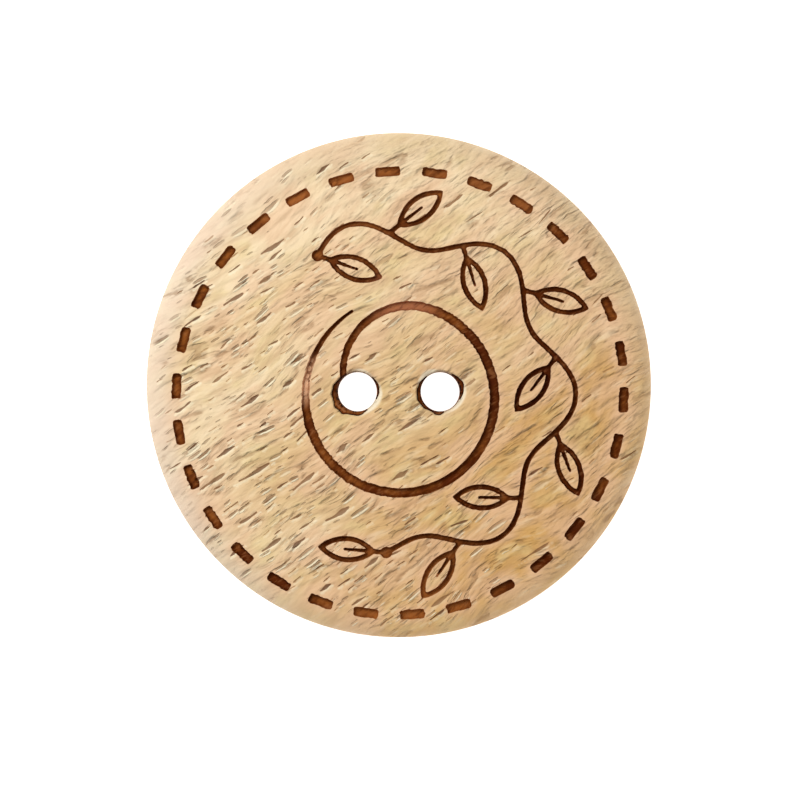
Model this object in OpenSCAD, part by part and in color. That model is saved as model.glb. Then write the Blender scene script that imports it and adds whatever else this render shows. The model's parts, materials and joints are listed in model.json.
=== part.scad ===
// Two-hole sewing button, turned from a flat beech blank.
// The face carries a burnt-in design: a ring of stitches near the rim, a loop of
// thread that comes up out of the left hole, and a leaf sprig in the band between.
// Origin: centre of the flat back. +Z points out of the face, +Y to the top of the design.

/* [Body] */
// Diameter of the button
button_d = 23; // [20:0.5:34]
// Thickness from the flat back to the flat face
thickness = 4; // [2.5:0.1:6]
// Radius of the rounded edge round the face
face_edge_r = 1.1; // [0.4:0.1:1.4]
// Radius of the rounded edge round the back
back_edge_r = 0.7; // [0.2:0.1:1]

/* [Thread holes] */
// Diameter of each thread hole
hole_d = 1.8; // [1:0.1:2.6]
// Distance between the centres of the two holes
hole_pitch = 3.8; // [3:0.1:4.6]
// Width of the eased edge at both ends of each hole
hole_ease = 0.2; // [0.05:0.05:0.3]
// Distance that both holes sit below the body's own axis
hole_drop = 0.3; // [0:0.05:0.5]

/* [Engraving] */
// Depth of every burnt line below the face
burn_depth = 0.3; // [0.1:0.05:0.5]
// Distance that the burnt design sits to the right of the holes
burn_shift = 0.06; // [0:0.02:0.2]
// Distance that the burnt design sits below the holes
burn_drop = 0.06; // [0:0.02:0.2]

/* [Stitch ring] */
// Number of stitches in the ring
stitch_count = 30; // [12:1:40]
// Distance from the body's rim to the middle of the stitches
stitch_margin = 1.4; // [1:0.05:2]
// Length of one stitch
stitch_l = 1.15; // [0.5:0.05:1.3]
// Width of one stitch
stitch_w = 0.44; // [0.2:0.02:0.8]
// Direction of the first stitch, in degrees from the +X axis
stitch_turn = -2.3; // [-6:0.1:6]
// Distance by which the ring is drawn out along the grain, and drawn in across it
stitch_oval = 0.1; // [0:0.02:0.2]
// Direction of the grain, in degrees from the +X axis
grain_turn = 32; // [0:1:90]

/* [Thread loop] */
// Gap between a hole's wall and the middle of the loop's line
loop_gap = 1.48; // [1:0.02:2]
// Width of the loop's line
loop_w = 0.44; // [0.2:0.02:0.7]
// Distance that the loop's centre sits below the centre of the stitch ring
loop_drop = 0.25; // [0:0.05:0.4]
// Direction in which the tail leaves the loop, in degrees from the +X axis
loop_join = 70; // [50:1:80]
// Direction of the loop's open end, in degrees from the +X axis
loop_end = 118; // [100:1:140]
// Length of loop that narrows to its open end, in degrees
loop_taper = 80; // [10:1:90]
// Width of the loop's line at its open end
loop_tip_w = 0.14; // [0.06:0.02:0.3]
// Distance that the open end swings out from the loop's own circle
loop_flare = 0.24; // [0:0.02:0.4]
// Radius of the tail that runs into the left hole
tail_r = 3.02; // [2.8:0.01:3.3]
// Width of the tail's line where it meets the hole
tail_w = 0.28; // [0.2:0.02:0.44]

/* [Leaf sprig] */
// Number of leaves beside the stem
leaf_count = 8; // [4:1:10]
// Width of the sprig's lines
sprig_w = 0.24; // [0.15:0.01:0.4]
// Gap kept clear on both sides of the band that the sprig fills
sprig_gap = 0.4; // [0.2:0.05:0.8]
// Distance that the stem swings to each side of its middle line
stem_swing = 0.7; // [0.2:0.05:1]
// Direction in which the stem starts, in degrees from the +X axis
sprig_start = 121; // [100:1:140]
// Angle that the stem spans, in degrees
sprig_span = 216; // [120:1:240]
// Angle that a leaf on the outer side leans out from the stem's middle line, in degrees
leaf_lean_out = 34; // [25:1:45]
// Angle that a leaf on the inner side leans in from the stem's middle line, in degrees
leaf_lean_in = 50; // [35:1:60]
// Width of a leaf
leaf_w = 1.2; // [1:0.05:1.8]
// Length of a leaf's bare stalk
stalk_l = 0.45; // [0.3:0.05:0.8]
// Length of a leaf's middle vein
vein_l = 1.5; // [0.6:0.1:1.8]
// Width of the middle vein at its tip
vein_tip_w = 0.12; // [0.05:0.01:0.15]
// Diameter of the bud at each end of the stem
bud_d = 0.54; // [0.5:0.02:0.8]

/* [Hidden] */
$fn = 96;
beech = [0.86, 0.73, 0.57];
scorch = [0.35, 0.17, 0.06];

// Body and holes
body_r = button_d / 2;
hole_r = hole_d / 2;
// Distance by which a cutter reaches past what it cuts
past = 0.5;

// Rings of the design, each set off from the one that it borders
stitch_r = body_r - stitch_margin;
loop_r = hole_pitch / 2 + hole_r + loop_gap;
band_in = loop_r + loop_drop + loop_w / 2;
band_out = stitch_r - stitch_oval - stitch_w / 2;

// Sprig: it runs along the middle of the band that the loop and the stitches leave. Leaves on
// the outer side end at the gap beside the stitches, or sooner, at the end of their own wave.
sprig_r = (band_in + band_out) / 2;
wave_angle = sprig_span / leaf_count;
wave_l = sprig_r * wave_angle * PI / 180;
tip_r = band_out - sprig_gap;
rise = sprig_r * sin(leaf_lean_out);
leaf_reach = min(wave_l, sqrt(rise * rise + tip_r * tip_r - sprig_r * sprig_r) - rise);
leaf_l = leaf_reach - stalk_l;

// Longest step along the loop and the stem, in degrees
curve_step = 2;

function polar(r, a) = [r * cos(a), r * sin(a)];

// Even shares of an angle, from 0 up to the last step before 1
function shares(angle) = let (steps = ceil(angle / curve_step)) [for (i = [0 : steps - 1]) i / steps];

// Points of a path, each moved square to the path's own direction there, by one d or one for each
function unit(v) = v / norm(v);
function side(path, i) =
    let (last = len(path) - 1)
    let (along = unit(path[min(i + 1, last)] - path[max(i - 1, 0)]))
    [-along.y, along.x];
function beside(path, d) =
    [for (i = [0 : len(path) - 1]) path[i] + (is_list(d) ? d[i] : d) * side(path, i)];
function reversed(list) = [for (i = [len(list) - 1 : -1 : 0]) list[i]];

// Line along a path, with square ends; w is its width, or a list of its widths at each point
module line_along(path, w) {
    polygon(concat(beside(path, w / 2), reversed(beside(path, -w / 2))));
}

// Stitches: a slightly oval ring of straight dashes, each square to its own radius
module stitch_ring() {
    for (i = [0 : stitch_count - 1]) {
        turn = stitch_turn + i * 360 / stitch_count;
        off_grain = turn - grain_turn;
        along = (stitch_r + stitch_oval) * cos(off_grain);
        across = (stitch_r - stitch_oval) * sin(off_grain);
        rotate(grain_turn)
            translate([along, across])
                rotate(off_grain)
                    square([stitch_w, stitch_l], center = true);
    }
}

// Loop of thread: one line that widens from its open end, makes most of a turn round both holes,
// then leaves the circle along a tighter arc and narrows into the left hole
module thread_loop() {
    tail_centre = polar(loop_r - tail_r, loop_join);
    to_hole = [-hole_pitch / 2 - burn_shift, loop_drop + burn_drop] - tail_centre;
    tail_span = atan2(to_hole.y, to_hole.x) + 360 - loop_join;
    full = loop_end + loop_taper;
    round_span = loop_join + 360 - full;
    opening = shares(loop_taper);
    round = shares(round_span);
    tail = shares(tail_span);
    path = concat(
        [for (f = opening) polar(loop_r + loop_flare * (1 - f) * (1 - f), loop_end + loop_taper * f)],
        [for (f = round) polar(loop_r, full + round_span * f)],
        [for (f = concat(tail, 1)) tail_centre + polar(tail_r, loop_join + tail_span * f)]);
    widths = concat(
        [for (f = opening) loop_tip_w + (loop_w - loop_tip_w) * f],
        [for (f = round) loop_w],
        [for (f = concat(tail, 1)) loop_w + (tail_w - loop_w) * f]);
    translate([0, -loop_drop]) line_along(path, widths);
}

// Lens between two equal arcs, pointed at both ends of its length l
module lens(l, w, inset = 0) {
    arc_r = (l * l + w * w) / (4 * w);
    intersection_for (s = [-1, 1])
        translate([0, s * (arc_r - w / 2)]) circle(arc_r - inset);
}

// One leaf, with the foot of its stalk at the origin and its tip along +X
module leaf() {
    vein_end = stalk_l + vein_l;
    polygon([[0, -sprig_w / 2], [vein_end, -vein_tip_w / 2], [vein_end, vein_tip_w / 2], [0, sprig_w / 2]]);
    translate([stalk_l + leaf_l / 2, 0])
        difference() {
            lens(leaf_l, leaf_w);
            lens(leaf_l, leaf_w, sprig_w);
        }
}

// Sprig: a stem that waves along the middle of the band between two buds, a leaf in the
// hollow of every wave, on each side in turn, and one more leaf at its tip
module leaf_sprig() {
    stem = [for (f = concat(shares(sprig_span), 1))
        polar(sprig_r + stem_swing * sin(180 * leaf_count * f), sprig_start - sprig_span * f)];
    line_along(stem, sprig_w);
    for (bud = [stem[0], stem[len(stem) - 1]])
        translate(bud) circle(d = bud_d);
    for (i = [0 : leaf_count]) {
        lean = i % 2 == 0 ? -leaf_lean_in : leaf_lean_out;
        rotate(sprig_start - i * wave_angle)
            translate([sprig_r, 0])
                rotate((i < leaf_count ? lean : 0) - 90) leaf();
    }
}

// Everything that is burnt into the face, cut to one depth
module burnt_lines() {
    color(scorch)
        translate([burn_shift, -hole_drop - burn_drop, thickness - burn_depth])
            linear_extrude(burn_depth + past) {
                stitch_ring();
                thread_loop();
                leaf_sprig();
            }
}

// Two drilled holes with eased edges, side by side
module thread_holes() {
    color(scorch)
        for (s = [-1, 1])
            translate([s * hole_pitch / 2, -hole_drop, 0]) {
                translate([0, 0, -hole_d]) cylinder(r = hole_r, h = thickness + 2 * hole_d);
                cylinder(r1 = hole_r + hole_ease, r2 = hole_r, h = hole_ease);
                translate([0, 0, thickness - hole_ease])
                    cylinder(r1 = hole_r, r2 = hole_r + hole_ease, h = hole_ease);
            }
}

// Half section of the turned blank: flat back, flat face and a round edge on each
module blank_section() {
    square([body_r - face_edge_r, thickness]);
    square([body_r - back_edge_r, thickness - face_edge_r]);
    translate([0, back_edge_r]) square([body_r, thickness - face_edge_r - back_edge_r]);
    translate([body_r - face_edge_r, thickness - face_edge_r]) circle(face_edge_r);
    translate([body_r - back_edge_r, back_edge_r]) circle(back_edge_r);
}

// The turned blank with its two holes, before anything is burnt into it
module drilled_blank() {
    difference() {
        color(beech) rotate_extrude() blank_section();
        thread_holes();
    }
}

module button() {
    difference() {
        drilled_blank();
        burnt_lines();
    }
}

button();
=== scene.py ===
import json
import math
import random
from collections import namedtuple

import bmesh
import bpy
import numpy as np
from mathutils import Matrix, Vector, geometry, kdtree, noise


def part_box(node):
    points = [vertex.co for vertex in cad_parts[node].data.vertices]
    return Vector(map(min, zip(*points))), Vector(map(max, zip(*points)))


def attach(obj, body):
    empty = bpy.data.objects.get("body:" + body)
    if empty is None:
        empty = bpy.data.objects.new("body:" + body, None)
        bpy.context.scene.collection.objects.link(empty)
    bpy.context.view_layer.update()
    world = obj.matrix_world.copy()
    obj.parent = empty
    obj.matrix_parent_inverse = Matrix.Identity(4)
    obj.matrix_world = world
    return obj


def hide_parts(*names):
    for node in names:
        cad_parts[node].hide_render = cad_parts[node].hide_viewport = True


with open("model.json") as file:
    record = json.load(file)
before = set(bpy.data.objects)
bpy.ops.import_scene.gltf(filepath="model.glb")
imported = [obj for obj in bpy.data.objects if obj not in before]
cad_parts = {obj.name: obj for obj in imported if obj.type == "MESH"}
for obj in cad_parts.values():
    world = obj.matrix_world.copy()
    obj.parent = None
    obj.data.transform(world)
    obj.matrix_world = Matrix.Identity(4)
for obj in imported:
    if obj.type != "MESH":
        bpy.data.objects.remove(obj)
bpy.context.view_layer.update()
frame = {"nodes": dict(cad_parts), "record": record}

# Button: one disc of beech, turned with a rounded edge on each side, drilled twice for the
# thread and sanded. Its design is burnt into the face with a hot point, so the lines are
# shallow dark grooves with uneven edges. Sizes are in millimetres until the mesh is made.
MM = 0.001
low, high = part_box("button")
rim_r = min(high.x, -low.x) / MM
thick = high.z / MM
face_edge_r, back_edge_r = 1.1, 0.7
holes = [m for m in frame["record"]["mounts"] if m["kind"] == "bore"]
hole_middles = np.array([m["pos_m"][:2] for m in holes]) / MM
hole_r = holes[0]["dims"]["r_mm"]
grain_turn = math.radians(35)
grain_way = np.array([math.cos(grain_turn), math.sin(grain_turn)])
across_grain = np.array([-math.sin(grain_turn), math.cos(grain_turn)])
draw = random.Random(23)


def along_grain(points, turn=grain_turn):
    """Places along and across the grain of points given along X and Y"""
    x, y = np.asarray(points, float).T
    return np.stack([x * math.cos(turn) + y * math.sin(turn),
                     y * math.cos(turn) - x * math.sin(turn)], 1)


def wander(points, step, seed):
    """Smooth random values from -1 to 1 that change over about one step"""
    step = np.broadcast_to(step, 2)
    return np.array([noise.noise((x / step[0], y / step[1], seed)) for x, y in points])


def near_hole(points):
    """Distance of each point from the middle of the hole that is nearer"""
    return np.linalg.norm(points[:, None] - hole_middles, axis=2).min(1)


# Burnt lines: their outlines come from the flat floors of the grooves in the solid. Each is
# followed in short steps that shake and fray a little, with the burnt side on its left. Where
# a line runs out into a hole, its outline is left as it is.
wall_w = 0.07
burn_step = 0.085
level_slack, least_depth = 0.01, 0.1
hole_slack = 0.03
stitches_from_r = 9
shake_w, tremble_w = 0.015, 0.008
fray_w, deep_fray_w = 0.03, 0.06


def burnt_outlines(solid):
    """Closed outlines of every groove's floor, each a list of points, and the floors' height"""
    corners = np.empty(len(solid.vertices) * 3, np.float32)
    solid.vertices.foreach_get("co", corners)
    corners = corners.reshape(-1, 3).astype(float) / MM
    solid.calc_loop_triangles()
    faces = np.empty(len(solid.loop_triangles) * 3, np.int32)
    solid.loop_triangles.foreach_get("vertices", faces)
    faces = faces.reshape(-1, 3)
    level = corners[faces, 2]
    sunk_in = (level.max(1) < thick - least_depth) & (level.min(1) > thick / 2)
    floors = sunk_in & (np.ptp(level, axis=1) < level_slack)
    place = {}
    number = np.array([place.setdefault((round(x, 3), round(y, 3)), len(place)) for x, y, _ in corners])
    points = list(place)
    floor = [f for f in number[faces[floors]].tolist() if len(set(f)) == 3]
    edges = {(f[i], f[i - 2]) for f in floor for i in range(3)}
    floor = [f for f in floor if any((f[i - 2], f[i]) in edges for i in range(3))]
    edges = {(f[i], f[i - 2]) for f in floor for i in range(3)}
    after = {a: b for a, b in sorted(edges) if (b, a) not in edges}
    outlines = []
    while after:
        at = next(iter(after))
        outline = []
        while at in after:
            outline.append(points[at])
            at = after.pop(at)
        outlines.append(np.array(outline))
    return outlines, level[floors].mean()


def stepped(outline, step):
    """The same outline with points no further apart than a step"""
    points = []
    for a, b in zip(outline, np.roll(outline, -1, 0)):
        count = math.ceil(np.linalg.norm(b - a) / step)
        points.extend(a + (b - a) * i / count for i in range(count))
    return np.array(points)


def left_of(outline):
    """Directions square to the outline, towards its left"""
    run = np.roll(outline, -1, 0) - np.roll(outline, 1, 0)
    run /= np.linalg.norm(run, axis=1)[:, None]
    return np.stack([-run[:, 1], run[:, 0]], 1)


outlines, burnt_level = burnt_outlines(frame["nodes"]["button"].data)
burnt = []
for outline in outlines:
    outline = stepped(outline, burn_step)
    side = left_of(outline)
    open_to_hole = near_hole(outline) < hole_r + hole_slack
    stitch = np.linalg.norm(outline, axis=1).min() > stitches_from_r
    soft = outline
    for _ in range(3 if stitch else 1):
        soft = 0.5 * soft + 0.25 * (np.roll(soft, 1, 0) + np.roll(soft, -1, 0))
    shake = shake_w * wander(outline, 0.5, 4.0) + tremble_w * wander(outline, 0.14, 9.0)
    fray = deep_fray_w if stitch or open_to_hole.any() else fray_w
    fray = fray * wander(along_grain(outline), (0.6, 0.12), 8.0)
    uneven = soft + side * shake[:, None] + grain_way * fray[:, None]
    burnt.append((np.where(open_to_hole[:, None], outline, uneven), side, open_to_hole))


def within_burnt(points):
    """Whether each point lies inside a burnt line"""
    inside = np.zeros(len(points), bool)
    for outline, _, _ in burnt:
        boxed = np.flatnonzero(((points >= outline.min(0)) & (points <= outline.max(0))).all(1))
        ax, ay = outline.T
        bx, by = np.roll(outline, -1, 0).T
        slant = (bx - ax) / np.where(by == ay, 1, by - ay)
        for part in np.array_split(boxed, len(boxed) // 4000 + 1):
            x, y = points[part, 0, None], points[part, 1, None]
            crossed = ((ay > y) != (by > y)) & (x < ax + slant * (y - ay))
            inside[part] ^= crossed.sum(1) % 2 == 1
    return inside


# Flecks: the rays of the beech, cut through where they reach the face. Each is a slender, uneven
# brown lens along the grain that lies a hair below the sanded wood, with a painted highlight, a pale
# cream band, beside it on its lower side. The plainest are placed one by one: x, y, half length, half
# width, turn in degrees and darkness. The rest are strewn, more of them on the left than on the right.
Fleck = namedtuple("Fleck", "at half_l half_w turn bend dark seed")
fleck_count = 280
fleck_depth = 0.035
placed_bend = 0.02
fleck_gap = 0.16
fleck_margin = 0.5
loop_tip, tip_clear = np.array([-2.3, 3.1]), 0.7
placed_flecks = [
    (-6.55, -3.97, 1.20, 0.10, 30, 0.75), (-6.75, -0.73, 0.72, 0.10, 34, 0.90),
    (-2.78, -5.86, 0.90, 0.12, 30, 0.70), (-7.84, -3.03, 0.71, 0.09, 32, 0.95),
    (-5.71, 6.27, 0.91, 0.10, 34, 0.75), (-8.45, -4.39, 0.94, 0.11, 35, 0.65),
    (0.07, -4.09, 0.61, 0.13, 35, 0.60), (0.50, -1.78, 0.86, 0.09, 31, 0.85),
    (1.98, -9.71, 0.89, 0.10, 34, 0.55), (-7.49, 3.89, 0.79, 0.09, 33, 0.80),
    (-4.53, -7.16, 0.53, 0.11, 39, 0.90), (6.20, -7.55, 1.06, 0.07, 34, 0.60),
    (-5.77, -7.25, 0.78, 0.10, 34, 0.75), (-2.58, -2.86, 0.46, 0.12, 40, 0.70),
    (-6.82, -6.03, 0.69, 0.09, 34, 0.75), (-4.32, -4.39, 0.91, 0.10, 40, 0.60),
    (-1.23, -8.05, 0.55, 0.10, 40, 0.75), (-9.80, -1.03, 0.59, 0.09, 36, 0.85),
    (4.50, 8.84, 0.74, 0.09, 38, 0.60), (-3.32, -9.18, 0.42, 0.09, 32, 0.95),
    (2.47, 8.32, 0.66, 0.10, 37, 0.55), (-5.00, 0.08, 0.42, 0.09, 36, 0.90),
    (-6.10, 3.03, 0.56, 0.09, 38, 0.80), (-6.00, 4.83, 0.61, 0.10, 39, 0.60),
    (-1.27, 1.25, 0.47, 0.09, 35, 0.70), (-3.73, -0.32, 0.38, 0.09, 37, 0.85),
    (-2.92, 0.50, 0.25, 0.04, 34, 0.80), (-7.61, -5.53, 0.62, 0.045, 37, 0.60),
    (-4.66, -5.99, 0.43, 0.05, 28, 0.65), (-4.17, -6.33, 0.56, 0.045, 34, 0.70),
    (-3.56, -8.23, 0.31, 0.05, 31, 0.70), (-4.54, 4.54, 0.38, 0.045, 32, 0.70),
    (-5.70, 1.90, 0.36, 0.05, 28, 0.85), (-6.88, 0.83, 0.40, 0.06, 30, 0.75),
    (-4.54, 1.17, 0.56, 0.07, 29, 0.65), (-6.16, -1.80, 0.27, 0.06, 41, 1.00),
    (-7.19, -1.80, 0.26, 0.05, 34, 0.80), (-5.03, -2.26, 0.35, 0.05, 35, 0.85),
    (-7.90, 1.83, 0.38, 0.05, 46, 0.60), (-8.82, 0.89, 0.30, 0.05, 29, 0.70),
    (-4.90, 3.64, 0.37, 0.07, 28, 0.65), (-6.48, 5.15, 0.28, 0.05, 34, 0.55),
    (3.43, 7.62, 0.69, 0.035, 31, 0.55), (5.75, 6.85, 0.53, 0.04, 29, 0.65),
    (6.62, 7.63, 0.66, 0.04, 50, 0.60), (7.79, 5.28, 0.25, 0.04, 31, 0.50),
    (9.03, 3.90, 0.50, 0.04, 48, 0.50), (8.96, 3.02, 0.39, 0.04, 42, 0.50),
    (8.51, -0.60, 0.39, 0.05, 39, 0.60), (9.51, 0.71, 0.41, 0.06, 27, 0.40),
    (7.69, -3.01, 0.30, 0.04, 31, 0.45), (8.74, -3.46, 0.26, 0.04, 45, 0.45)]


def too_near(fleck, at, half_l, half_w):
    """Whether a new fleck would touch one that is there"""
    reach = (fleck.half_l + half_l, fleck_gap + half_w + fleck.half_w)
    return np.hypot(*(along_grain([at - fleck.at], fleck.turn) / reach)[0]) < 1


flecks = []
for x, y, half_l, half_w, turn, dark in placed_flecks:
    turn, seed = math.radians(turn), draw.uniform(0, 6)
    flecks.append(Fleck(np.array([x, y]), half_l, half_w, turn, placed_bend, dark, seed))
while len(flecks) < fleck_count:
    at = np.array([draw.uniform(-rim_r, rim_r), draw.uniform(-rim_r, rim_r)])
    crowd = min(1, max(0.08, 0.5 - 0.05 * at[0] - 0.025 * at[1]))
    half_l = min(0.6, max(0.15, draw.lognormvariate(-1.2, 0.4)))
    half_w = min(0.075, max(0.028, half_l * draw.uniform(0.08, 0.15)))
    turn = grain_turn + 0.17 * noise.noise((at[0] / 6, at[1] / 6, 2.0)) + draw.gauss(0, 0.07)
    bend, seed = draw.uniform(-0.05, 0.05), draw.uniform(0, 6)
    dark = min(1.0, max(0.25, 0.25 + 0.9 * draw.random() * half_l / 0.45))
    if np.linalg.norm(at) > rim_r - fleck_margin or draw.random() > crowd:
        continue
    if np.linalg.norm(at - loop_tip) < tip_clear:
        continue
    if any(too_near(fleck, at, half_l, half_w) for fleck in flecks):
        continue
    flecks.append(Fleck(at, half_l, half_w, turn, bend, dark, seed))


def fleck_form(fleck, a):
    """Middle line and half width of a fleck at places along it, from -1 to 1"""
    taper = np.maximum(1 - a * a, 0)
    wobble = 0.2 * fleck.half_w * taper * np.sin(3.4 * a + fleck.seed)
    middle = fleck.bend * fleck.half_l * a * a + wobble
    return middle, fleck.half_w * taper ** 1.2 * (1 + 0.4 * np.sin(4.6 * a + 2.3 * fleck.seed))


def lens_points(fleck, share, count):
    """Points round a fleck's outline, drawn in to a share of its width"""
    a = np.cos(np.linspace(0, math.pi, count + 1)) * (0.35 + 0.65 * share)
    middle, b = fleck_form(fleck, a)
    upper = np.stack([a * fleck.half_l, middle + b * share], 1)
    lower = np.stack([a * fleck.half_l, middle - b * share], 1)
    return fleck.at + along_grain(np.concatenate([upper, lower[-2:0:-1]]), -fleck.turn)


def fleck_marks(points):
    """How deep each point lies in a fleck, from 0 at its edge to 1, and how dark that fleck is"""
    marks, tones = np.zeros(len(points)), np.zeros(len(points))
    for fleck in flecks:
        near = np.flatnonzero((np.abs(points - fleck.at) < fleck.half_l + 0.2).all(1))
        a, b = along_grain(points[near] - fleck.at, fleck.turn).T
        middle, reach = fleck_form(fleck, a / fleck.half_l)
        off = np.abs(b - middle)
        marks[near] = np.maximum(marks[near], np.clip(1.8 * (1 - off / (reach + 1e-9)), 0, 1))
        tones[near] = np.maximum(tones[near], np.where(off < reach * 1.1 + 0.01, fleck.dark, 0))
    return marks, tones


# Face: a fine net of triangles that follows the outlines of the burnt lines, flecks and holes.
# It ends part of the way down the rounded edge, where the rings of the side take over.
face_stop = math.radians(66)
face_step = 0.112
row_rise = 0.866
rim_count, hole_count = 720, 104
highlight_edge_off, core_share = 0.07, 0.45
net_clear = 0.03
spots, ties = [], []


def lay(path, closed=True, tied=True):
    """Adds a line of points to the net, tied to each other or loose"""
    first, count = len(spots), len(path)
    spots.extend(map(tuple, path))
    if tied:
        ties.extend((first + i, first + (i + 1) % count) for i in range(count if closed else count - 1))


def strew(step, keep):
    """Adds loose points on a shaken lattice of equal triangles, wherever keep allows one"""
    rows = int(rim_r / (step * row_rise)) + 1
    for row in range(-rows, rows + 1):
        for column in range(-rows, rows + 1):
            x = (column + row % 2 / 2 + draw.uniform(-0.2, 0.2)) * step
            y = (row * row_rise + draw.uniform(-0.2, 0.2)) * step
            if keep(x, y):
                spots.append((x, y))


def netted():
    """Points and triangles of the net, in which every tied line is an edge"""
    points, _, faces, _, _, _ = geometry.delaunay_2d_cdt([Vector(p) for p in spots], ties, [], 0, 1e-5)
    return np.array([tuple(p) for p in points]), np.array(faces)


def ring(middle, r, count, turn=0.0):
    """Points of a circle; r may give one radius for each of them"""
    angle = (np.arange(count) + turn) * 2 * math.pi / count
    return np.stack([middle[0] + r * np.cos(angle), middle[1] + r * np.sin(angle)], 1)


def edge_r(angle, round_r):
    """Radius of the body at an angle down one of its rounded edges"""
    return rim_r - round_r + round_r * math.sin(angle)


# Mouths of the holes: the drill and the hot point left them torn, dark and chipped on some sides,
# and worn on others. The dark is scorch with painted shade, and the worn edges carry a painted
# highlight. Each mark is a direction and a spread in degrees, and how far it reaches.
lip_depth, mouth_depth = 0.14, 0.9
torn_marks = [[(180, 34, 0.2), (226, 24, 0.28), (12, 30, 0.1), (272, 22, 0.16)],
              [(195, 48, 0.17), (18, 32, 0.15), (264, 12, 0.14)]]
worn_and_lit_marks = [[(-30, 40, 0.2), (75, 28, 0.1)], [(-25, 50, 0.14), (128, 26, 0.2)]]


def reach_of(marks, middle, points):
    """How far the marks round a hole reach in the direction of each point"""
    x, y = (points - middle).T
    turn = np.degrees(np.arctan2(y, x))
    reach = np.zeros(len(points))
    for way, spread, far in marks:
        reach += far * np.exp(-(((turn - way + 180) % 360 - 180) / spread) ** 2)
    return reach


def torn_r(hole, points):
    """Radius to which a hole's wall is torn back, scorched and painted with shade, in the direction of
    each point
    """
    middle = hole_middles[hole]
    way = (points - middle) / np.linalg.norm(points - middle, axis=1)[:, None]
    chips = 1 + 0.35 * wander(way, 0.2, 7.0 + hole)
    return hole_r + 0.035 + chips * reach_of(torn_marks[hole], middle, points)


def worn_r(hole, points):
    """Radius to which a hole's edge is worn round"""
    return torn_r(hole, points) + 0.05 + reach_of(worn_and_lit_marks[hole], hole_middles[hole], points)


# The net's lines: rings down the rounded edge, rings round the holes, both sides of every burnt
# edge, and each fleck with the edge of its painted highlight and its core, all kept clear of the rim and
# the holes' walls.
net_r = edge_r(face_stop, face_edge_r)
lay(ring((0, 0), net_r, rim_count))
for i, angle in enumerate(np.linspace(0, face_stop, 9)[:-1]):
    lay(ring((0, 0), edge_r(angle, face_edge_r), rim_count, (i + 1) % 2 / 2), tied=False)
for hole, middle in enumerate(hole_middles):
    wall = ring(middle, hole_r, hole_count)
    lay(wall)
    torn, worn = torn_r(hole, wall), worn_r(hole, wall)
    lay(ring(middle, (hole_r + torn) / 2, hole_count, 0.5), tied=False)
    lay(ring(middle, torn, hole_count))
    lay(ring(middle, (torn + worn) / 2, hole_count), tied=False)
    lay(ring(middle, worn, hole_count), tied=False)
for outline, _, open_to_hole in burnt:
    shut = ~open_to_hole
    if open_to_hole.any():
        start = np.flatnonzero(open_to_hole & ~np.roll(open_to_hole, -1))[0] + 1
        outline, shut = np.roll(outline, -start, 0), np.roll(shut, -start, 0)
    lay(outline[shut], closed=shut.all())
edge_parts = 6
edge_tree = kdtree.KDTree(sum(len(outline) * edge_parts for outline, _, _ in burnt))
for outline, _, open_to_hole in burnt:
    ahead = np.roll(outline, -1, 0)
    for a, b, skip in zip(outline, ahead, open_to_hole | np.roll(open_to_hole, -1)):
        if not skip:
            for i in range(edge_parts):
                edge_tree.insert((*(a + (b - a) * i / edge_parts), 0), 0)
edge_tree.balance()


def edge_gap(points):
    """Distance of each point from the nearest edge of a burnt line"""
    return np.array([edge_tree.find((x, y, 0))[2] for x, y in points])


for outline, side, _ in burnt:
    for beside in (outline + side * wall_w, outline - side * wall_w):
        clear = (edge_gap(beside) > wall_w * 0.8) & (near_hole(beside) > hole_r + 0.05)
        lay(beside[clear], tied=False)
for fleck in flecks:
    edge = lens_points(fleck, 1, 6 + round(8 * fleck.half_l))
    lip = edge[len(edge) // 2 + 1:] - highlight_edge_off * across_grain
    core = lens_points(fleck, core_share, 4 + round(5 * fleck.half_l))
    for path, tied in ((edge, True), (lip, False), (core, True)):
        clear = (near_hole(path) > hole_r + net_clear) & (np.linalg.norm(path, axis=1) < net_r - net_clear)
        lay(path[clear], tied=tied and clear.all())
taken = kdtree.KDTree(len(spots))
for i, (x, y) in enumerate(spots):
    taken.insert((x, y, 0), i)
taken.balance()


def free_on_face(x, y):
    """Whether a place is on the flat of the face and clear of the lines laid there"""
    on_flat = math.hypot(x, y) < edge_r(0, face_edge_r) - 0.05
    return on_flat and taken.find((x, y, 0))[2] > face_step * 0.55


strew(face_step, free_on_face)
net, net_faces = netted()
net_faces = net_faces[near_hole(net[net_faces].mean(1)) > hole_r * 0.999]

# Heights of the face: sanded wood that still waves along its grain, worn edges at the holes,
# steep walls and a crusty floor in the burnt lines, and the hollow of each fleck. The same sums
# give the layers that the materials read: fleck, the painted highlight beside each fleck, halo,
# char with painted shade, and the painted highlight on the holes' worn edges.
wave_depth, wave_fade = 0.007, 0.6
crust_h = 0.04
halo_w = 0.26
highlight_reach = 0.09
out = np.linalg.norm(net, axis=1)
round_in = np.clip(out - edge_r(0, face_edge_r), 0, face_edge_r)
top = thick - face_edge_r + np.sqrt(face_edge_r ** 2 - round_in ** 2)
gap = edge_gap(net)
burnt_in = within_burnt(net) & (gap > 1e-4)
marks, tones = fleck_marks(net)
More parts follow.
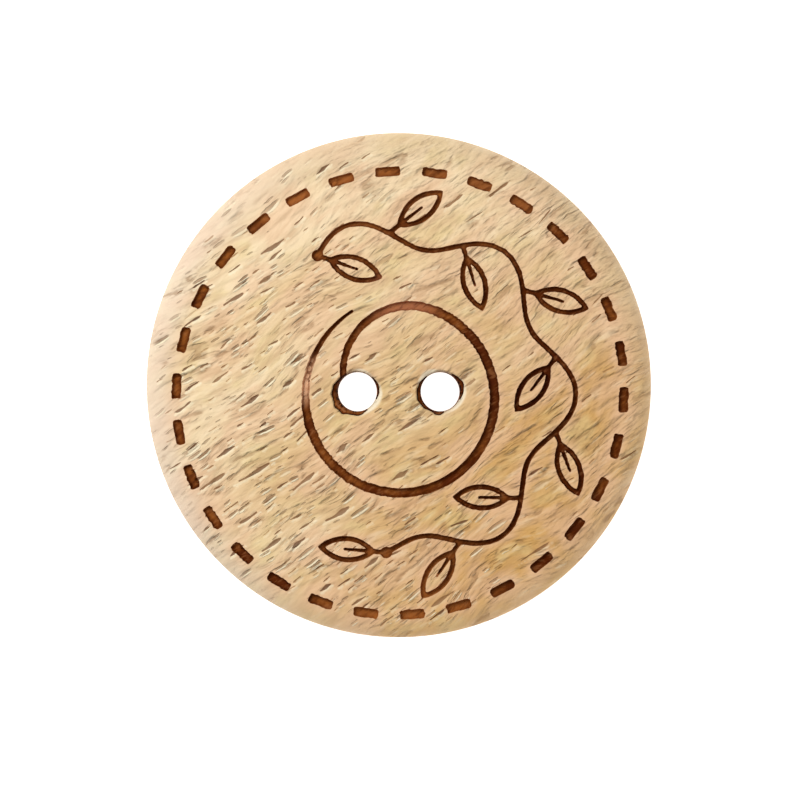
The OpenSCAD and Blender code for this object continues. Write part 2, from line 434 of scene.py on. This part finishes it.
# Painted highlight: a pale band along the lower side of each fleck, where its lit edge would be
fleck_highlight, fleck_highlight_tones = fleck_marks(net + highlight_reach * across_grain)
fleck_highlight *= fleck_highlight_tones
waves = wander(along_grain(net), (1.5, 0.55), 1.0) + 0.6 * wander(along_grain(net), (0.6, 0.25), 6.0)
sanded_off = wave_depth * (1.6 + waves) * np.clip((net_r - out) / wave_fade, 0, 1)
sanded = top - sanded_off - fleck_depth * marks * (0.4 + 0.6 * tones)
crust = crust_h * (1 + wander(net, 0.17, 3.0)) / 2
sunk = np.minimum(gap / wall_w, 1)
height = np.where(burnt_in, top - (top - burnt_level - crust) * sunk, sanded)
mouth_highlight = np.zeros(len(net))
halo = np.where(burnt_in, 1, np.exp(-(gap / halo_w) ** 1.4))
# Dark on the lines' walls, darkest at the edges: partly scorch and partly painted shade
char_and_shade = np.where(burnt_in, 1 - 0.7 * np.clip((gap - 0.04) / 0.12, 0, 1), 0)
for hole, middle in enumerate(hole_middles):
    away = np.linalg.norm(net - middle, axis=1)
    around = np.flatnonzero(away < hole_r + 0.9)
    away, torn, worn = away[around], torn_r(hole, net[around]), worn_r(hole, net[around])
    lip = np.clip((worn - away) / (worn - torn), 0, 1)
    throat = np.clip((torn - away) / (torn - hole_r), 0, 1)
    mouth = thick - lip_depth * lip ** 1.6 - (mouth_depth - lip_depth) * throat ** 3
    height[around] = np.minimum(height[around], mouth)
    # Painted highlight: pale cream on the worn edges of the mouths, mostly on the lower right where they
    # face the lamp
    mouth_lit = np.clip(reach_of(worn_and_lit_marks[hole], middle, net[around]) / 0.12, 0.1, 1)
    mouth_highlight[around] = np.maximum(mouth_highlight[around], np.clip(2.2 * lip, 0, 1) * mouth_lit)
    # Painted shade with scorch: each torn throat is made nearly black, with a paler band in its middle
    # where it is torn widest
    seen = np.clip((torn - hole_r) / 0.3, 0, 1)
    char_and_shade[around] = np.where(away < torn + 1e-4, 2 - 2.4 * seen * np.sin(math.pi * throat), char_and_shade[around])

# Whole skin: the face, the rings of the side, the walls of the holes and the flat back, joined
# where they meet into one closed shell. Each stretch says whether its faces are scorched.
hole_ease = 0.2
back_step = 0.34
join_gap = 0.0003
sharp_angle = math.radians(48)
skin_points, skin_faces, skin_burnt = [], [], []


def add_skin(points, faces, scorched):
    """Adds a stretch of skin to the whole"""
    skin_faces.append(np.asarray(faces) + sum(map(len, skin_points)))
    skin_points.append(points)
    skin_burnt.append(np.broadcast_to(scorched, len(faces)))


def add_band(rings, outward, scorched):
    """Adds a band of triangles over rings of points that have the same count"""
    count = len(rings[0])
    faces = []
    for j in range(len(rings) - 1):
        for i in range(count):
            a, b = j * count + i, j * count + (i + 1) % count
            c, d = a + count, b + count
            faces += [(a, c, b), (b, c, d)] if outward else [(a, b, c), (b, d, c)]
    add_skin(np.concatenate(rings), faces, scorched)


def at_height(points, z):
    """Flat points raised to a height"""
    return np.column_stack([points, np.full(len(points), z)])


net_middles = net[net_faces].mean(1)
scorched = within_burnt(net_middles)
# The torn throats take the scorched wood, which carries their painted shade
for hole, middle in enumerate(hole_middles):
    in_throat = np.linalg.norm(net_middles - middle, axis=1) < torn_r(hole, net_middles)
    scorched |= in_throat & (reach_of(torn_marks[hole], middle, net_middles) > 0.03)
add_skin(np.column_stack([net, height]), net_faces, scorched)

side_rings = []
for angle in np.linspace(face_stop, math.pi / 2, 5):
    z = thick - face_edge_r + face_edge_r * math.cos(angle)
    side_rings.append(at_height(ring((0, 0), edge_r(angle, face_edge_r), rim_count), z))
for z in np.linspace(thick - face_edge_r, back_edge_r, 9)[1:-1]:
    side_rings.append(at_height(ring((0, 0), rim_r, rim_count), z))
for angle in np.linspace(math.pi / 2, 0, 9):
    z = back_edge_r - back_edge_r * math.cos(angle)
    side_rings.append(at_height(ring((0, 0), edge_r(angle, back_edge_r), rim_count), z))
add_band(side_rings, True, False)
for middle in hole_middles:
    wall = ring(middle, hole_r, hole_count)
    add_band([at_height(wall, z) for z in np.linspace(thick - mouth_depth, hole_ease, 10)], False, True)
    eased = [(hole_r + hole_ease * f, hole_ease * (1 - f)) for f in (0, 0.5, 1)]
    add_band([at_height(ring(middle, r, hole_count), z) for r, z in eased], False, False)

spots, ties = [], []
back_r, back_hole_r = edge_r(0, back_edge_r), hole_r + hole_ease
lay(ring((0, 0), back_r, rim_count))
for inset, share in ((0.16, 1), (0.4, 2), (0.75, 3)):
    lay(ring((0, 0), back_r - inset, rim_count // share, 0.5), tied=False)
for middle in hole_middles:
    lay(ring(middle, back_hole_r, hole_count))
    for inset, share in ((0.06, 1), (0.16, 2), (0.35, 4)):
        lay(ring(middle, back_hole_r + inset, hole_count // share, 0.5), tied=False)


def free_on_back(x, y):
    """Whether a place on the back is clear of the rings at its rim and round the holes"""
    return math.hypot(x, y) < back_r - 1 and near_hole(np.array([(x, y)]))[0] > hole_r + 0.75


strew(back_step, free_on_back)
back, back_faces = netted()
back_faces = back_faces[near_hole(back[back_faces].mean(1)) > back_hole_r * 0.999]
add_skin(at_height(back, 0.0), back_faces[:, ::-1], False)

points, faces = np.concatenate(skin_points), np.concatenate(skin_faces)
button_mesh = bpy.data.meshes.new("beech_button")
button_mesh.from_pydata((points * MM).tolist(), [], faces.tolist())
button_mesh.polygons.foreach_set("material_index", np.concatenate(skin_burnt).astype(np.int32))
layers = {"fleck": marks, "fleck_tone": tones, "fleck_highlight": fleck_highlight, "halo": halo, "char_and_shade": char_and_shade, "mouth_highlight": mouth_highlight}
off_face = np.zeros(len(points) - len(net))
for name, values in layers.items():
    layer = button_mesh.attributes.new(name, "FLOAT", "POINT")
    layer.data.foreach_set("value", np.concatenate([values, off_face]).astype(np.float32))
work = bmesh.new()
work.from_mesh(button_mesh)
bmesh.ops.remove_doubles(work, verts=work.verts, dist=join_gap * MM)
work.to_mesh(button_mesh)
work.free()
button_mesh.shade_smooth()
button_mesh.set_sharp_from_angle(angle=sharp_angle)
button = bpy.data.objects.new("button_of_beech", button_mesh)
bpy.context.scene.collection.objects.link(button)


def colour(*screen):
    """A colour given in screen values from 0 to 255, in the linear values that shaders take"""
    shares = [value / 255 for value in screen]
    return (*(c / 12.92 if c <= 0.04045 else ((c + 0.055) / 1.055) ** 2.4 for c in shares), 1.0)


def put(tree, kind, feeds=None, **settings):
    """A new node, its inputs fed by other sockets or set to plain values"""
    made = tree.nodes.new("ShaderNode" + kind)
    for key, value in settings.items():
        setattr(made, key, value)
    for key, value in (feeds or {}).items():
        if isinstance(value, bpy.types.NodeSocket):
            tree.links.new(value, made.inputs[key])
        else:
            made.inputs[key].default_value = value
    return made


def reckon(tree, operation, *values, clamp=False):
    """Output of a Math node"""
    return put(tree, "Math", dict(enumerate(values)), operation=operation, use_clamp=clamp).outputs[0]


def times(tree, a, b):
    """Product of two values"""
    return reckon(tree, "MULTIPLY", a, b)


def vectors(tree, operation, a, b):
    """Output of a Vector Math node that gives a vector"""
    return put(tree, "VectorMath", {0: a, 1: b}, operation=operation).outputs[0]


def ramp(tree, value, start, end, low=0.0, high=1.0):
    """Value spread smoothly from one range to another"""
    feeds = {0: value, 1: start, 2: end, 3: low, 4: high}
    return put(tree, "MapRange", feeds, interpolation_type="SMOOTHSTEP").outputs[0]


def blend(tree, share, under, over):
    """Colour output of a Mix node"""
    return put(tree, "Mix", {0: share, 6: under, 7: over}, data_type="RGBA").outputs[2]


def stretched(tree, vector, along, across):
    """Places scaled along and across the grain"""
    return vectors(tree, "MULTIPLY", vector, (along, across, across))


def cloud(tree, vector, along, across, detail=2.0, rough=0.5):
    """Noise that is drawn out along the grain, as a value"""
    return put(tree, "TexNoise", {"Vector": stretched(tree, vector, along, across), "Scale": 1.0,
                                  "Detail": detail, "Roughness": rough}).outputs[0]


def strayed(tree, vector, scale, detail, reach):
    """Random shifts of places, each way by up to about half the reach"""
    stray = put(tree, "TexNoise", {"Vector": vector, "Scale": scale, "Detail": detail}).outputs[1]
    return vectors(tree, "MULTIPLY", vectors(tree, "SUBTRACT", stray, (0.5, 0.5, 0.5)), reach)


def slope_of(tree, spot, x, y):
    """Place across the button in one direction, from -1 at the rim to 1 at the far rim"""
    way = (x / (rim_r * MM), y / (rim_r * MM), 0)
    return put(tree, "VectorMath", {0: spot, 1: way}, operation="DOT_PRODUCT").outputs["Value"]


def rays(tree, vector, along, across, shortest, longest, bare):
    """Short pointed marks along the grain, one in each stretched cell, or none in a bare share of them"""
    cells = put(tree, "TexVoronoi", {"Vector": stretched(tree, vector, along, across), "Scale": 1.0},
                distance="EUCLIDEAN")
    pick = put(tree, "SeparateColor", {0: cells.outputs["Color"]})
    size = reckon(tree, "MULTIPLY_ADD", pick.outputs[1], longest - shortest, shortest)
    mark = ramp(tree, reckon(tree, "DIVIDE", cells.outputs["Distance"], size), 1.0, 0.6)
    return times(tree, mark, ramp(tree, pick.outputs[0], bare, 1.0))


def off_middle(tree, value):
    """Distance of a noise value from its middle, which is 0 along winding lines"""
    return reckon(tree, "ABSOLUTE", reckon(tree, "SUBTRACT", value, 0.5))


# Beech grain: tone bands, coloured patches, streaks, folds, thin dark lines that are partly painted
# shade in the folds, and short rays with painted highlights (glints) beside them, all along one direction.
# It runs through the whole solid, so that the side and back agree where they meet, and the face's own
# grain runs on unchanged over the rounded edge.
grain = bpy.data.node_groups.new("beech_grain", "ShaderNodeTree")
grain.interface.new_socket("Place", in_out="INPUT", socket_type="NodeSocketVector")
for name in ("Tone", "Patch", "Streak", "Line", "Ray", "Glint", "Rag", "Relief"):
    grain.interface.new_socket(name, in_out="OUTPUT", socket_type="NodeSocketFloat")
grain_in, grain_out = grain.nodes.new("NodeGroupInput"), grain.nodes.new("NodeGroupOutput")
lifted = vectors(grain, "ADD", grain_in.outputs[0], (0, 0, face_edge_r * MM))
lifted = vectors(grain, "MINIMUM", lifted, (1, 1, thick * MM))
turned = put(grain, "Mapping", {"Vector": lifted, "Rotation": (0, 0, -grain_turn),
                                "Scale": (1 / MM, 1 / MM, 1 / MM)}).outputs[0]
swayed = vectors(grain, "ADD", turned, strayed(grain, turned, 0.25, 0.5, (0.0, 1.3, 1.3)))
ragged = vectors(grain, "ADD", swayed, strayed(grain, turned, 5.0, 2.0, (0.14, 0.06, 0.06)))
open_grain = ramp(grain, slope_of(grain, grain_in.outputs[0], -0.85, -0.5), -0.55, 0.3, 0.22, 1.0)
tone = cloud(grain, swayed, 0.05, 0.24)
patch = cloud(grain, swayed, 0.35, 0.7, 3.0)
streak = cloud(grain, swayed, 0.5, 2.7, 2.0, 0.55)
fibre = cloud(grain, swayed, 1.6, 13.0, 2.0, 0.6)
rag = cloud(grain, swayed, 2.2, 6.4, 2.0, 0.55)
lump = cloud(grain, swayed, 1.1, 3.0, 1.5)
streaks = reckon(grain, "ADD", times(grain, streak, 0.85), times(grain, fibre, 0.15))

# Folds and lines lie where the wood was pressed, in some places only. The dark lines run along the bottom
# of the folds: partly the wood's own lines and partly painted shade.
pressed = ramp(grain, cloud(grain, swayed, 0.35, 0.9, 1.0), 0.44, 0.6, 0.12, 1.0)
pressed = times(grain, pressed, ramp(grain, cloud(grain, ragged, 1.0, 2.4, 1.0), 0.44, 0.58, 0.3, 1.0))
wide_fold = off_middle(grain, cloud(grain, ragged, 0.26, 1.3, 1.0))
small_fold = off_middle(grain, cloud(grain, ragged, 0.75, 3.1, 1.0))
crease = times(grain, ramp(grain, wide_fold, 0.09, 0.0), pressed)
fold = times(grain, ramp(grain, small_fold, 0.1, 0.0), pressed)
line_and_fold_shade = times(grain, ramp(grain, wide_fold, 0.045, 0.008), ramp(grain, pressed, 0.3, 0.8))
line_and_fold_shade = reckon(grain, "MAXIMUM", line_and_fold_shade, times(grain, fold, 0.45))

# Rays and the painted highlights (glints) beside them are plainest towards the lower left, where the grain
# is open
highlight_side = vectors(grain, "ADD", ragged, (0.0, 0.1, 0.0))
coarse_ray = rays(grain, ragged, 0.66, 4.6, 0.14, 0.44, 0.4)
fine_ray = rays(grain, ragged, 1.05, 6.8, 0.15, 0.44, 0.45)
ray = times(grain, reckon(grain, "MAXIMUM", coarse_ray, times(grain, fine_ray, 0.7)), open_grain)
glint = times(grain, rays(grain, highlight_side, 0.66, 4.6, 0.14, 0.44, 0.3), open_grain)

# Relief: soft lumps that are higher where the grain is closed, raised lips, and all that is sunk
cushion = put(grain, "TexVoronoi", {"Vector": stretched(grain, swayed, 0.95, 2.9), "Scale": 1.0,
                                    "Smoothness": 0.35}, feature="SMOOTH_F1").outputs["Distance"]
lump_h = ramp(grain, open_grain, 0.22, 1.0, 0.15, 0.065)
rag_h = ramp(grain, open_grain, 0.22, 1.0, 0.06, 0.025)
relief = times(grain, fibre, 0.002)
for form, rise in ((lump, lump_h), (rag, rag_h), (cushion, -0.035), (crease, -0.045), (fold, -0.02),
                   (ray, -0.035), (glint, 0.02)):
    relief = reckon(grain, "MULTIPLY_ADD", form, rise, relief)
grain_masks = {"Tone": tone, "Patch": patch, "Streak": streaks, "Line": line_and_fold_shade, "Ray": ray,
               "Glint": glint, "Rag": rag, "Relief": relief}
for name, value in grain_masks.items():
    grain.links.new(value, grain_out.inputs[name])


def wood(name):
    """A new material with the grain placed in it: its tree, shader, grain and place on the object"""
    material = bpy.data.materials.new(name)
    material.use_nodes = True
    tree = material.node_tree
    shader = next(n for n in tree.nodes if n.type == "BSDF_PRINCIPLED")
    group = tree.nodes.new("ShaderNodeGroup")
    group.node_tree = grain
    spot = put(tree, "TexCoord").outputs["Object"]
    tree.links.new(spot, group.inputs["Place"])
    return material, tree, shader, group.outputs, spot


def layer_of(tree, name):
    """Value of a layer stored on the mesh"""
    return put(tree, "Attribute", attribute_name=name).outputs["Fac"]


# Sanded beech: pale cream on the upper left to tan on the lower right, with pink and straw
# patches, brown rays and lines (the lines partly painted shade), a faint warm halo beside the burnt lines,
# painted highlights beside the rays, the flecks and the holes' worn edges, painted light and shade on the
# rim, and a matt surface.
cream, tan = colour(248, 222, 180), colour(218, 168, 97)
pink, straw = colour(240, 196, 158), colour(233, 209, 146)
streak_brown, streak_pale = colour(190, 148, 104), colour(255, 233, 194)
rim_sheen_grey, rim_shade_tan, rim_light_warm = colour(228, 209, 190), colour(214, 184, 142), colour(252, 214, 162)
line_and_shade_brown, ray_brown, highlight_cream = colour(146, 100, 58), colour(124, 82, 46), colour(255, 240, 204)
halo_pink, mouth_highlight_cream = colour(238, 192, 152), colour(255, 240, 210)
fleck_light, fleck_dark = colour(182, 134, 86), colour(100, 52, 18)
sanded_beech, tree, shader, g, spot = wood("sanded_beech")
flat = vectors(tree, "MULTIPLY", spot, (1 / (rim_r * MM), 1 / (rim_r * MM), 0))
from_middle = put(tree, "VectorMath", {0: flat}, operation="LENGTH").outputs["Value"]
sides = put(tree, "SeparateXYZ", {0: flat}).outputs
across = slope_of(tree, spot, 0.6, -0.8)
# Tanner towards the lower right, paler towards the rim, the upper right and the lower left, with random
# tone
tan_share = reckon(tree, "MULTIPLY_ADD", reckon(tree, "SUBTRACT", g["Tone"], 0.5), 1.8, across)
tan_share = reckon(tree, "MULTIPLY_ADD", times(tree, from_middle, from_middle), -0.4, tan_share)
tan_share = reckon(tree, "MULTIPLY_ADD", times(tree, sides["X"], sides["Y"]), -0.24, tan_share)
base = blend(tree, ramp(tree, tan_share, -1.0, 0.75), cream, tan)
grain_tints = [("Patch", 0.46, 0.62, 0.48, pink), ("Patch", 0.46, 0.32, 0.45, straw),
               ("Streak", 0.46, 0.68, 0.34, streak_brown), ("Streak", 0.48, 0.3, 0.34, streak_pale)]
for mask, start, end, most, tint in grain_tints:
    base = blend(tree, ramp(tree, g[mask], start, end, 0.0, most), base, tint)
# Painted light and shade on the rounded rim: a grey sheen on the left where it faces the lamp, tan
# shade on the top and upper right, warm light on the lower right. For each: where it begins and is
# full, its direction and the stretch over which it grows
rim_light_and_shade = [(0.84, 0.97, (1.0, -0.1), 0.1, -0.9, 0.55, rim_sheen_grey),
             (0.86, 0.98, (0.4, 0.9), 0.1, 0.8, 0.5, rim_shade_tan),
             (0.86, 0.98, (0.9, -0.45), 0.0, 0.8, 0.35, rim_light_warm)]
for inner, outer, way, start, end, most, tint in rim_light_and_shade:
    on_side = ramp(tree, slope_of(tree, spot, *way), start, end, 0.0, most)
    base = blend(tree, times(tree, ramp(tree, from_middle, inner, outer), on_side), base, tint)
halo = times(tree, layer_of(tree, "halo"), ramp(tree, across, -0.7, 0.5, 0.25, 0.6))
off_halo = reckon(tree, "MULTIPLY_ADD", halo, -1.1, 1.0, clamp=True)
# Thin brown lines, partly the wood's own and partly painted shade in the folds
base = blend(tree, times(tree, times(tree, g["Line"], 0.5), off_halo), base, line_and_shade_brown)
# Painted highlights: pale cream glints beside the rays
base = blend(tree, times(tree, g["Glint"], ramp(tree, from_middle, 1.0, 0.95, 0.0, 0.95)), base, highlight_cream)
ray = times(tree, g["Ray"], ramp(tree, from_middle, 1.0, 0.95, 0.0, 0.72))
base = blend(tree, times(tree, ray, off_halo), base, ray_brown)
base = blend(tree, halo, base, halo_pink)
# Painted highlight beside each fleck, stronger on the left
highlight_share = ramp(tree, slope_of(tree, spot, 0.9, -0.3), -0.4, 0.5, 0.95, 0.4)
base = blend(tree, times(tree, layer_of(tree, "fleck_highlight"), highlight_share), base, highlight_cream)
fleck_tone = layer_of(tree, "fleck_tone")
fleck_tint = blend(tree, fleck_tone, fleck_light, fleck_dark)
torn_edge = reckon(tree, "SUBTRACT", g["Rag"], 0.5)
torn_edge = reckon(tree, "MULTIPLY_ADD", torn_edge, 1.6, layer_of(tree, "fleck"))
fleck = times(tree, ramp(tree, torn_edge, 0.12, 0.7), ramp(tree, fleck_tone, 0.0, 0.6, 0.0, 0.85))
base = blend(tree, fleck, base, fleck_tint)
# Painted highlight on the holes' worn edges
base = blend(tree, times(tree, layer_of(tree, "mouth_highlight"), 0.9), base, mouth_highlight_cream)
tree.links.new(base, shader.inputs["Base Color"])
tree.links.new(ramp(tree, g["Streak"], 0.3, 0.7, 0.5, 0.66), shader.inputs["Roughness"])
upright = put(tree, "SeparateXYZ", {0: spot}).outputs["Z"]
turned_smooth = times(tree, ramp(tree, from_middle, 1.0, 0.96, 0.3, 1.0),
                      ramp(tree, upright, 0.4 * MM, 1.4 * MM, 0.4, 1.0))
relief = times(tree, reckon(tree, "SUBTRACT", g["Relief"], 0.02), turned_smooth)
bump = put(tree, "Bump", {"Height": relief, "Distance": 1.7 * MM, "Strength": 1.0})
tree.links.new(bump.outputs[0], shader.inputs["Normal"])
shader.inputs["Specular IOR Level"].default_value = 0.2

# Scorched beech: the same wood turned dark brown by the hot point; nearly black along the walls of each
# line and in the mouths of the holes, partly scorch and partly painted shade; redder and paler on its
# floor and in some patches.
ember, russet, soot_and_shade = colour(104, 42, 1), colour(176, 104, 44), colour(34, 13, 5)
streak_char, wall_char_and_shade, crumb_char = colour(100, 44, 12), colour(84, 32, 1), colour(80, 34, 10)
crumb_pale, floor_pale, floor_bare = colour(172, 112, 66), colour(200, 136, 96), colour(244, 198, 158)
# Patches of another tint: middle, radius where it is full, radius where it ends, most, tint
burn_patches = [(0.2, 3.9, 0.6, 2.2, 0.8, colour(190, 122, 84)),
                (5.0, 0.0, 1.2, 3.6, 0.7, colour(74, 22, 0)),
                (0.5, -10.5, 1.0, 5.5, 0.75, colour(182, 110, 50)),
                (4.0, 9.2, 1.0, 4.5, 0.5, colour(180, 112, 58)),
                (-3.5, 9.5, 1.0, 5.0, 0.6, colour(186, 114, 58))]
scorched_beech, tree, shader, g, spot = wood("scorched_beech")


def round_patch(x, y, inner, outer, most):
    """How far a place on the face is in a soft round patch"""
    middle = (x * MM, y * MM, thick * MM)
    gone = put(tree, "VectorMath", {0: spot, 1: middle}, operation="DISTANCE").outputs["Value"]
    return ramp(tree, gone, outer * MM, inner * MM, 0.0, most)


glow = put(tree, "TexNoise", {"Vector": spot, "Scale": 0.8 / MM, "Detail": 3.0,
                              "Roughness": 0.65}).outputs[0]
light = reckon(tree, "MULTIPLY_ADD", slope_of(tree, spot, -0.35, 0.45), 0.2, glow)
base = blend(tree, ramp(tree, light, 0.34, 0.7), ember, russet)
base = blend(tree, ramp(tree, g["Streak"], 0.45, 0.65, 0.0, 0.5), base, streak_char)
char_and_shade = layer_of(tree, "char_and_shade")
# Darker along the walls of the lines and in the holes' throats: scorch with painted shade
base = blend(tree, reckon(tree, "MULTIPLY", char_and_shade, 0.8, clamp=True), base, wall_char_and_shade)
for x, y, inner, outer, most, tint in burn_patches:
    base = blend(tree, round_patch(x, y, inner, outer, most), base, tint)
worn_floor = ramp(tree, reckon(tree, "SUBTRACT", 1.0, char_and_shade, clamp=True), 0.05, 0.42)
base = blend(tree, times(tree, round_patch(-5.0, 0.4, 0.8, 1.8, 1.0), worn_floor), base, floor_bare)
base = blend(tree, ramp(tree, g["Rag"], 0.5, 0.68, 0.0, 0.5), base, crumb_char)
base = blend(tree, ramp(tree, g["Rag"], 0.48, 0.3, 0.0, 0.4), base, crumb_pale)
base = blend(tree, ramp(tree, char_and_shade, 0.3, -0.4, 0.0, 0.45), base, floor_pale)
# Painted shade with soot: nearly black in the holes' throats
base = blend(tree, ramp(tree, char_and_shade, 0.95, 1.7), base, soot_and_shade)
tree.links.new(base, shader.inputs["Base Color"])
tree.links.new(ramp(tree, glow, 0.3, 0.7, 0.6, 0.8), shader.inputs["Roughness"])
bump = put(tree, "Bump", {"Height": g["Relief"], "Distance": MM, "Strength": 0.7})
tree.links.new(bump.outputs[0], shader.inputs["Normal"])
shader.inputs["Specular IOR Level"].default_value = 0.05

button_mesh.materials.append(sanded_beech)
button_mesh.materials.append(scorched_beech)
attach(button, "root")
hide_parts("button")

# Table: a wide pale sheet, lit through from below like a light table, so that it stays white
# right up to the button's edge and shows white through the thread holes.
half_table, table_drop = 2.5, 0.02 * MM
table_corners = [(-half_table, -half_table, 0), (half_table, -half_table, 0),
                 (half_table, half_table, 0), (-half_table, half_table, 0)]
table_mesh = bpy.data.meshes.new("table")
table_mesh.from_pydata(table_corners, [], [(0, 1, 2, 3)])
table = bpy.data.objects.new("table", table_mesh)
table.location.z = -table_drop
bpy.context.scene.collection.objects.link(table)
table_sheet = bpy.data.materials.new("table_sheet")
table_sheet.use_nodes = True
tree = table_sheet.node_tree
shader = next(n for n in tree.nodes if n.type == "BSDF_PRINCIPLED")
shader.inputs["Base Color"].default_value = (0.85, 0.85, 0.85, 1)
shader.inputs["Roughness"].default_value = 0.9
straight = put(tree, "LightPath").outputs["Is Camera Ray"]
shine = blend(tree, straight, (0.6, 0.6, 0.6, 1), (1, 1, 1, 1))
tree.links.new(shine, shader.inputs["Emission Color"])
shader.inputs["Emission Strength"].default_value = 1.0
table_mesh.materials.append(table_sheet)

# Lamps: one soft box from the upper left, low enough to bring out the grain, in a white room.
room = bpy.data.worlds.new("white_room")
room.use_nodes = True
sky = next(n for n in room.node_tree.nodes if n.type == "BACKGROUND")
sky.inputs["Color"].default_value = (1, 1, 1, 1)
sky.inputs["Strength"].default_value = 0.5
bpy.context.scene.world = room
lamp_away, lamp_size, lamp_watts = 0.1, 0.045, 0.0575
lamp_turn, lamp_rise = math.radians(138), math.radians(56)
lamp = bpy.data.lights.new("window_box", "AREA")
lamp.size, lamp.energy = lamp_size, lamp_watts
lamp_way = Vector((math.cos(lamp_rise) * math.cos(lamp_turn),
                   math.cos(lamp_rise) * math.sin(lamp_turn), math.sin(lamp_rise)))
window_box = bpy.data.objects.new("window_box", lamp)
window_box.location = lamp_way * lamp_away + Vector((0, 0, thick * MM))
window_box.rotation_euler = lamp_way.to_track_quat("Z", "Y").to_euler()
window_box.visible_camera = False
bpy.context.scene.collection.objects.link(window_box)

# Camera: straight above the face, far off on a long lens, framed as the picture is.
picture_w = 36.46 * MM
aim_x, aim_y = 0.055 * MM, -0.68 * MM
focal, sensor_w = 200.0, 36.0
camera_data = bpy.data.cameras.new("camera")
camera_data.lens, camera_data.sensor_width = focal, sensor_w
camera_data.clip_start = 0.01
camera = bpy.data.objects.new("camera", camera_data)
camera.location = (aim_x, aim_y, (thick - face_edge_r) * MM + picture_w * focal / sensor_w)
bpy.context.scene.collection.objects.link(camera)
bpy.context.scene.camera = camera
bpy.context.scene.view_settings.view_transform = "Standard"
